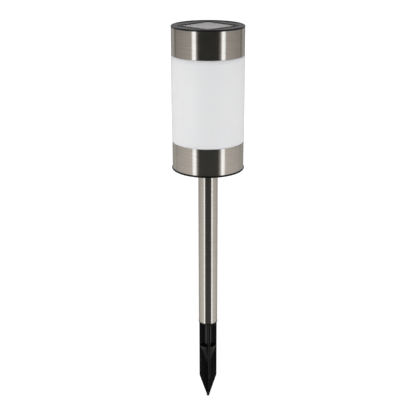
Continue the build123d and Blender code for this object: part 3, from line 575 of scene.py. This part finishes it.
# %% Weld beads
def weld_bead(name, part, body, width=0.7 * MM, rise=0.04 * MM, trim=0.5 * MM):
    low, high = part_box(part)
    radius = (high.x - low.x) / 2
    sink = 0.1 * MM
    half = width / 2 / radius
    across = [
        (radius - sink, -half),
        (radius + 0.2 * rise, -half),
        (radius + 0.8 * rise, -0.6 * half),
        (radius + rise, 0.0),
        (radius + 0.8 * rise, 0.6 * half),
        (radius + 0.2 * rise, half),
        (radius - sink, half),
    ]
    mesh_data = bmesh.new()
    levels = []
    for height in (low.z + trim, high.z - trim):
        points = [(r * math.sin(turn), r * math.cos(turn), height) for r, turn in across]
        levels.append([mesh_data.verts.new(point) for point in points])
    count = len(across)
    for index in range(count):
        after = (index + 1) % count
        mesh_data.faces.new((levels[0][index], levels[0][after], levels[1][after], levels[1][index]))
    mesh_data.faces.new(levels[0])
    mesh_data.faces.new(levels[1][::-1])
    return finish_mesh(name, mesh_data, tin, body)


weld_bead("upper_band_weld", "upper_band", "lamp_head")
weld_bead("lower_band_weld", "lower_band", "lamp_head")
weld_bead("pole_weld", "pole_tube", "pole")

# %% [markdown]
# ## Printed lines on the cell
# Silver paste is screen printed on the wafer: hair-thin fingers gather the current, and wider bars carry it
# off. The wafer is cut into strips that are joined one after another, so there is a dark gap between strips.
# They are real thin bars here, because they throw a faint shadow through the window.

# %% Cell lines
cell_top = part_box("solar_cell")[1].z
cell_mid = centre("solar_cell")
corner_to_front = Matrix.Rotation(math.radians(45), 4, "Z")
cell_place = Matrix.Translation((cell_mid.x, cell_mid.y, cell_top)) @ corner_to_front
printed_half = 19.0 * MM
strips = 5
fingers = 20
bus_half, finger_half, gap_half = 0.45 * MM, 0.06 * MM, 0.25 * MM
line_height = 0.02 * MM
finger_height, gap_height = line_height * 0.7, line_height * 1.3

paste = bmesh.new()
for strip in range(strips):
    strip_mid = (strip + 0.5 - strips / 2) * 2 * printed_half / strips
    bus_low = (strip_mid - bus_half, -printed_half, 0)
    add_bar(paste, bus_low, (strip_mid + bus_half, printed_half, line_height), cell_place)
for finger in range(fingers):
    y = (finger + 0.5 - fingers / 2) * 2 * printed_half / fingers
    finger_low = (-printed_half, y - finger_half, 0)
    add_bar(paste, finger_low, (printed_half, y + finger_half, finger_height), cell_place)
finish_mesh("cell_silver_lines", paste, tin, "solar_cap")

gaps = bmesh.new()
for strip in range(1, strips):
    x = (strip - strips / 2) * 2 * printed_half / strips
    gap_low = (x - gap_half, -printed_half, 0)
    add_bar(gaps, gap_low, (x + gap_half, printed_half, gap_height), cell_place)
finish_mesh("cell_strip_gaps", gaps, tape_black, "solar_cap")

# %% [markdown]
# ## Battery spring
# CAD keeps the closed spring as a plain sleeve. The real one is a cone of spring wire, wide at the plate and
# narrow at the battery. A curve that climbs as it turns, with a round bevel, is exactly how wire is coiled.

# %% Spring
spring_low, spring_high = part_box("battery_spring")
spring_mid = (spring_low + spring_high) / 2
wire_radius = 0.3 * MM
turns = 4
points_per_turn = 14
wide = (spring_high.y - spring_low.y) / 2 - wire_radius
narrow = 1.7 * MM
travel = (spring_low.x + wire_radius, spring_high.x - wire_radius)
spring_curve = bpy.data.curves.new("battery_spring_coil", "CURVE")
spring_curve.dimensions = "3D"
spring_curve.bevel_depth = wire_radius
spring_curve.bevel_resolution = 3
spring_curve.use_fill_caps = True
wire = spring_curve.splines.new("NURBS")
wire.points.add(turns * points_per_turn)
for index, point in enumerate(wire.points):
    share = index / (turns * points_per_turn)
    turn = math.tau * turns * share
    climb = min(max((share - 0.2) / 0.6, 0.0), 1.0)
    radius = wide + (narrow - wide) * climb
    x = travel[0] + (travel[1] - travel[0]) * climb
    point.co = (x, spring_mid.y + radius * math.cos(turn), spring_mid.z + radius * math.sin(turn), 1.0)
wire.order_u = 3
wire.use_endpoint_u = True
spring_curve.materials.append(nickel)
battery_coil = bpy.data.objects.new("battery_spring_coil", spring_curve)
bpy.context.scene.collection.objects.link(battery_coil)
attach(battery_coil, "solar_cap")
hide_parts("battery_spring")
print("spring turns", turns, "length mm", round((travel[1] - travel[0]) / MM, 2))

# %% [markdown]
# ## Battery sleeve
# The film of a rechargeable cell is shrunk over both shoulders of the can, with a paper ring round the plus
# end. CAD has a plain tube. Here it is turned from one outline that curls over the ends.

# %% Battery sleeve
sleeve_low, sleeve_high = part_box("battery_sleeve")
sleeve_mid = (sleeve_low + sleeve_high) / 2
film_out = (sleeve_high.y - sleeve_low.y) / 2
film = 0.12 * MM
sleeve_length = sleeve_high.x - sleeve_low.x
lying_down = Matrix.Rotation(math.radians(90), 4, "Y")
along_x = Matrix.Translation((sleeve_low.x, sleeve_mid.y, sleeve_mid.z)) @ lying_down
shoulder = 0.7 * MM
outline = []
for radius, lift in ((film_out, 0.0), (film_out - film, film)):
    low_arc = []
    for step in range(7):
        angle = math.radians(15 * step)
        low_arc.append((radius - shoulder * (1 - math.sin(angle)), lift + shoulder * (1 - math.cos(angle))))
    high_arc = [(r, sleeve_length - z) for r, z in low_arc[::-1]]
    side = low_arc + high_arc
    outline += side if radius == film_out else side[::-1]
sleeve_mesh = bmesh.new()
add_turned(sleeve_mesh, outline, along_x, steps=72)
battery_wrap = finish_mesh("battery_wrap", sleeve_mesh, battery_film, "solar_cap", 50)
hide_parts("battery_sleeve")

insulator = bmesh.new()
ring_bore, ring_edge, ring_thickness = 2.2 * MM, 3.9 * MM, 0.1 * MM
ring_height = sleeve_length + 0.02 * MM
ring_foot = ring_height - ring_thickness
ring_outline = [
    (ring_bore, ring_foot), (ring_edge, ring_foot),
    (ring_edge, ring_height), (ring_bore, ring_height),
]
add_turned(insulator, ring_outline, along_x, steps=48)
finish_mesh("battery_paper_ring", insulator, knob_white, "solar_cap")

# %% [markdown]
# ## Inside the LED
# The clear dome holds two posts. One carries a small cup with the blue die under a drop of yellow phosphor,
# and the other is the anvil that the bond wire comes from. They show when the cap is lifted and turned over.

# %% LED inside
lens_low, lens_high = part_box("led_lens")
leg_low, leg_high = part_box("led_legs")
lens_mid = (lens_low + lens_high) / 2
cup_top = lens_low.z + 3.6 * MM
post_foot = leg_low.z
post_half = 0.25 * MM
leg_offset = (leg_high.x - leg_low.x) / 2 - post_half
posts = bmesh.new()
for side, reach in ((-1, 0.55), (1, 0.35)):
    x = lens_mid.x + side * leg_offset
    near, far = sorted((x - side * 0.25 * MM, x - side * (0.25 + reach) * MM))
    post_low = (x - post_half, lens_mid.y - post_half, cup_top)
    add_bar(posts, post_low, (x + post_half, lens_mid.y + post_half, post_foot))
    add_bar(posts, (near, lens_mid.y - 0.3 * MM, cup_top), (far, lens_mid.y + 0.3 * MM, cup_top + 0.9 * MM))
finish_mesh("led_posts", posts, tin, "solar_cap")

cup_outline = [(0, 0.25), (0.35, 0.2), (0.62, -0.2), (0.7, -0.2), (0.55, 0.45), (0, 0.45)]
drop_outline = [(0, -0.3), (0.3, -0.26), (0.58, -0.15), (0.34, 0.18), (0, 0.22)]
cup = bmesh.new()
cup_place = Matrix.Translation((lens_mid.x - 0.15 * MM, lens_mid.y, cup_top))
add_turned(cup, [(r * MM, h * MM) for r, h in cup_outline], cup_place, 32)
finish_mesh("led_cup", cup, tin, "solar_cap")
drop = bmesh.new()
add_turned(drop, [(r * MM, h * MM) for r, h in drop_outline], cup_place, 32)
finish_mesh("led_phosphor", drop, phosphor, "solar_cap")

# %% [markdown]
# ## Solder and the smallest parts of the board
# Every lead ends in a cone of solder, and three chip resistors sit between the larger parts. The cones are
# turned from one outline, so that each has the hollow flank of solder that has wetted a pad.

# %% Solder joints
board_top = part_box("main_board")[1].z
joint_outline = [
    (0, 0), (1.15, 0), (1.1, 0.08), (0.75, 0.3),
    (0.5, 0.75), (0.36, 1.25), (0.2, 1.4), (0, 1.42),
]
lead_names = [name for name in nodes if "_lead_" in name]


def end_of(name, height):
    """The middle of the round end that a lead has at that height."""
    points = [vert.co for vert in nodes[name].data.vertices if abs(vert.co.z - height) < 0.01 * MM]
    return sum(points, Vector()) / len(points)


joints = [end_of(name, board_top) for name in lead_names]
joints += [Vector((lens_mid.x + side * leg_offset, lens_mid.y, board_top)) for side in (-1, 1)]
for plate in ("positive_plate", "negative_plate"):
    middle, top = centre(plate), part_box(plate)[1].z
    joints.append(Vector((middle.x, middle.y, top)))
switch_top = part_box("switch_body")[1].z
joints += [end_of(name, switch_top) for name in lead_names if name.startswith("switch")]

solder = bmesh.new()
for joint in joints:
    size = MM if abs(joint.z - board_top) < 0.01 * MM else 0.75 * MM
    add_turned(solder, [(r * size, h * size) for r, h in joint_outline], Matrix.Translation(joint), 24)
finish_mesh("solder_joints", solder, tin, "solar_cap")

# %% Chip resistors
resistor_places = [(-4.0, 1.2), (4.0, 1.2), (-3.8, -5.2)]
bodies, caps = bmesh.new(), bmesh.new()
for x, y in resistor_places:
    spot = Matrix.Translation((x * MM, y * MM, board_top))
    add_bar(bodies, (-0.75 * MM, -0.6 * MM, 0.02 * MM), (0.75 * MM, 0.6 * MM, 0.5 * MM), spot, 0.04 * MM)
    for side in (-1, 1):
        near, far = sorted((side * 0.7 * MM, side * 1.05 * MM))
        add_bar(caps, (near, -0.63 * MM, 0), (far, 0.63 * MM, 0.53 * MM), spot, 0.08 * MM)
finish_mesh("resistor_bodies", bodies, chip_epoxy, "solar_cap")
finish_mesh("resistor_caps", caps, tin, "solar_cap")

# %% [markdown]
# ## The studio
# The light stands on a plain pale floor under soft light. Steel shows only what is around it, so the room
# matters as much as the metal: a dark camera side, two tall narrow lights left and right of the camera, and
# grey walls. All of that is a function of the compass direction in the world's shader, and only reflections
# see it. Diffuse light comes evenly from all round, and the camera sees plain white.


# %% World
def lobe(tree, direction, centre_deg, half_width_deg, soft_deg):
    """1 within half_width of a compass direction and 0 outside it, with a soft edge."""
    offset = maths(tree, "SUBTRACT", direction, math.radians(centre_deg))
    wrapped = maths(tree, "WRAP", offset, math.pi, -math.pi)
    distance = maths(tree, "ABSOLUTE", wrapped)
    inner, outer = math.radians(half_width_deg - soft_deg / 2), math.radians(half_width_deg + soft_deg / 2)
    return ramp(tree, distance, inner, outer, 1.0, 0.0)


world = bpy.data.worlds.new("studio")
bpy.context.scene.world = world
world.use_nodes = True
tree = world.node_tree
tree.nodes.clear()
ray = node(tree, "ShaderNodeTexCoord").outputs["Generated"]
parts = node(tree, "ShaderNodeSeparateXYZ", Vector=ray)
compass = maths(tree, "ARCTAN2", parts.outputs["X"], maths(tree, "MULTIPLY", parts.outputs["Y"], -1.0))
lowness = ramp(tree, parts.outputs["Z"], -0.12, -0.32)
walls = blend_colours(tree, lowness, (0.3, 0.276, 0.255, 1.0), (0.8, 0.755, 0.7, 1.0))
beside = ramp(tree, maths(tree, "ABSOLUTE", compass), math.radians(60), math.radians(110))
far_walls = blend_colours(tree, lowness, (0.25, 0.232, 0.218, 1.0), (0.6, 0.585, 0.55, 1.0))
walls = blend_colours(tree, beside, walls, far_walls)
line_tone = blend_colours(tree, lowness, (0.13, 0.12, 0.11, 1.0), (0.5, 0.49, 0.46, 1.0))
dark_side = blend_colours(tree, lowness, (0.012, 0.013, 0.012, 1.0), (0.07, 0.072, 0.068, 1.0))
tall_light = (1.5, 1.55, 1.6, 1.0)
room = blend_colours(tree, lobe(tree, compass, 2.0, 38.0, 14.0), walls, dark_side)
room = blend_colours(tree, lobe(tree, compass, 125.0, 4.5, 4.0), room, line_tone)
room = blend_colours(tree, lobe(tree, compass, -122.0, 4.5, 4.0), room, line_tone)
room = blend_colours(tree, lobe(tree, compass, 145.0, 12.0, 10.0), room, (0.42, 0.4, 0.38, 1.0))
room = blend_colours(tree, lobe(tree, compass, -145.0, 12.0, 10.0), room, (0.45, 0.43, 0.41, 1.0))
room = blend_colours(tree, lobe(tree, compass, -44.0, 6.3, 3.0), room, tall_light)
room = blend_colours(tree, lobe(tree, compass, 49.0, 6.3, 3.0), room, tall_light)
downward = ramp(tree, parts.outputs["Z"], 0.06, -0.02)
back_dark = maths(tree, "MULTIPLY", downward, lobe(tree, compass, 180.0, 22.0, 4.0))
back_strip = maths(tree, "MULTIPLY", downward, lobe(tree, compass, 180.0, 9.0, 3.0))
room = blend_colours(tree, back_dark, room, grey(0.05))
room = blend_colours(tree, back_strip, room, tall_light)
underfoot = ramp(tree, parts.outputs["Z"], -0.6, -0.8, 0.0, 0.75)
room = blend_colours(tree, underfoot, room, grey(0.0))
upward = ramp(tree, parts.outputs["Z"], 0.05, 0.3)
back_sky = blend_colours(tree, lobe(tree, compass, 180.0, 75.0, 60.0), grey(0.13), (0.31, 0.305, 0.315, 1.0))
zenith = ramp(tree, parts.outputs["Z"], 0.55, 0.9)
sky = blend_colours(tree, zenith, back_sky, grey(0.15))
reflected = blend_colours(tree, upward, room, sky)
paths = node(tree, "ShaderNodeLightPath").outputs
even = blend_colours(
    tree, ramp(tree, parts.outputs["X"], -1.0, 1.0), (0.83, 0.825, 0.83, 1.0), (0.71, 0.705, 0.715, 1.0)
)
even = blend_colours(tree, lobe(tree, compass, 0.0, 45.0, 40.0), even, (0.62, 0.62, 0.62, 1.0))
mirrored = maths(tree, "SUBTRACT", paths["Is Glossy Ray"], paths["Is Transmission Ray"])
even = blend_colours(tree, paths["Is Transmission Ray"], even, grey(1.05))
seen = blend_colours(tree, maths(tree, "MAXIMUM", mirrored, 0.0), even, reflected)
seen = blend_colours(tree, paths["Is Camera Ray"], seen, grey(1.0))
background = node(tree, "ShaderNodeBackground", Color=seen, Strength=1.0)
output = node(tree, "ShaderNodeOutputWorld")
tree.links.new(background.outputs[0], output.inputs[0])
world.cycles.sampling_method = "NONE"
print("studio made")


# %% Lights
def soft_light(name, location, target, size, watts, tint=(1.0, 1.0, 1.0)):
    lamp = bpy.data.lights.new(name, "AREA")
    lamp.shape = "RECTANGLE"
    lamp.size, lamp.size_y = size
    lamp.energy = watts
    lamp.color = tint
    holder = bpy.data.objects.new(name, lamp)
    holder.location = location
    aim = Vector(target) - Vector(location)
    holder.rotation_euler = aim.to_track_quat("-Z", "Y").to_euler()
    bpy.context.scene.collection.objects.link(holder)
    return holder


middle = (cad_low + cad_high) / 2
soft_light("key", (-1.1, -0.9, 1.2), middle, (0.9, 0.9), 2.5)
soft_light("fill", (1.3, -0.4, 0.9), middle, (0.9, 0.9), 1.0)
soft_light("back", (0.0, 1.4, 1.1), middle, (1.4, 0.7), 2.0)
print("lights made")

# %% [markdown]
# ## The floor and the camera
# The floor is pale and bright enough to meet the white backdrop with no line. It is hidden from reflections,
# so the steel sees the studio's walls instead. From below it is clear, so that the underside of the light can
# be looked at. The camera stands a little above the light and looks down at it with a long lens.

# %% Floor
floor_mesh = bmesh.new()
reach = 9.0
corners = [(-reach, -reach), (reach, -reach), (reach, reach), (-reach, reach)]
floor_mesh.faces.new([floor_mesh.verts.new((x, y, cad_low.z)) for x, y in corners])
floor_data = bpy.data.meshes.new("floor")
floor_mesh.to_mesh(floor_data)
floor_mesh.free()
floor_white, tree, shader = new_material("floor_white", Roughness=0.9, Specular_IOR_Level=0.1)
place = node(tree, "ShaderNodeTexCoord").outputs["Object"]
cloud = node(tree, "ShaderNodeTexNoise", Vector=place, Scale=3.0, Detail=1.0).outputs[0]
join(tree, blend_colours(tree, cloud, grey(0.88), grey(0.9)), shader, "Base Color")
join(tree, blend_colours(tree, cloud, grey(0.98), grey(1.0)), shader, "Emission Color")
shader.inputs["Emission Strength"].default_value = 0.45
floor_output = next(made for made in tree.nodes if made.type == "OUTPUT_MATERIAL")
from_below = node(tree, "ShaderNodeNewGeometry").outputs["Backfacing"]
open_below = tree.nodes.new("ShaderNodeMixShader")
clear = tree.nodes.new("ShaderNodeBsdfTransparent")
tree.links.new(from_below, open_below.inputs[0])
tree.links.new(shader.outputs[0], open_below.inputs[1])
tree.links.new(clear.outputs[0], open_below.inputs[2])
tree.links.new(open_below.outputs[0], floor_output.inputs[0])
floor_data.materials.append(floor_white)
floor = bpy.data.objects.new("floor", floor_data)
bpy.context.scene.collection.objects.link(floor)
floor.visible_glossy = False
print("floor at", round(cad_low.z / MM, 1), "mm")

# %% Camera
lens_tilt = 19.6
camera_data = bpy.data.cameras.new("camera")
camera_data.sensor_width = 36.0
camera_data.lens = 76.15
camera_data.clip_start = 0.01
camera_data.clip_end = 50.0
camera = bpy.data.objects.new("camera", camera_data)
camera.location = (0.0, -0.8961, 0.4545)
camera.rotation_euler = (math.radians(90.0 - lens_tilt), 0.0, 0.0)
bpy.context.scene.collection.objects.link(camera)
bpy.context.scene.camera = camera
bpy.context.scene.view_settings.view_transform = "Standard"
print("camera looks down", lens_tilt, "degrees")
